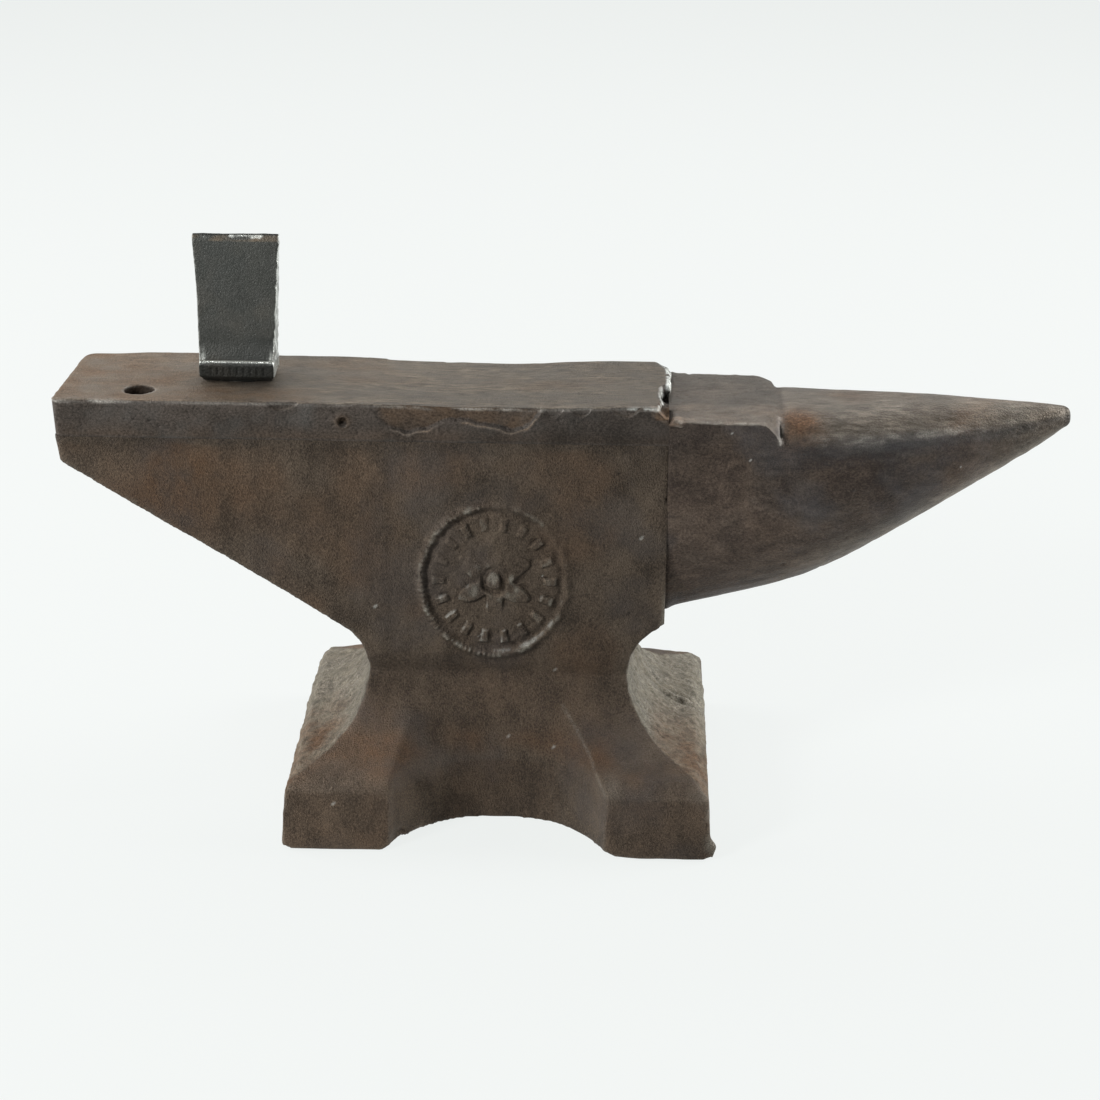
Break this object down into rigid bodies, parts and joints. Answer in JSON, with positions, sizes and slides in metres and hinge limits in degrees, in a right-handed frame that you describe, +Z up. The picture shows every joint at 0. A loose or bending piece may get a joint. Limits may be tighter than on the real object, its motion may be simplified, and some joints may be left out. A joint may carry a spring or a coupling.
{
  "type": "anvil",
  "caption": "Small cast anvil with a hard steel face, a round horn with a step beside the face, a hardy hole, a pritchel hole, and a lift-out cut-off hardy.",
  "frame": {"origin": "on the floor plane, below the middle of the anvil's whole length and width", "axes": "+X along the anvil towards the tip of the horn, +Y towards the back, +Z up, out of the face"},
  "size_m": [0.4826, 0.1676, 0.2805],
  "materials": {
    "body": "rough casting with an old dark brown rust patina",
    "face_plate": "worn hard steel, rubbed smooth on top, with a warm grey-brown oxide",
    "horn": "steel with a dark brown patina, rubbed along its top",
    "hardy_tool": "dark forged steel with bright worn edges"
  },
  "bodies": {
    "anvil": {"body": "body", "face_plate": "face_plate", "horn": "horn"},
    "hardy": {"hardy_tool": "hardy_tool"}
  },
  "joints": [
    {"name": "hardy_lift", "type": "slide", "parent": "anvil", "child": "hardy", "axis": [0, 0, 1], "range_m": [0, 0.06]}
  ]
}
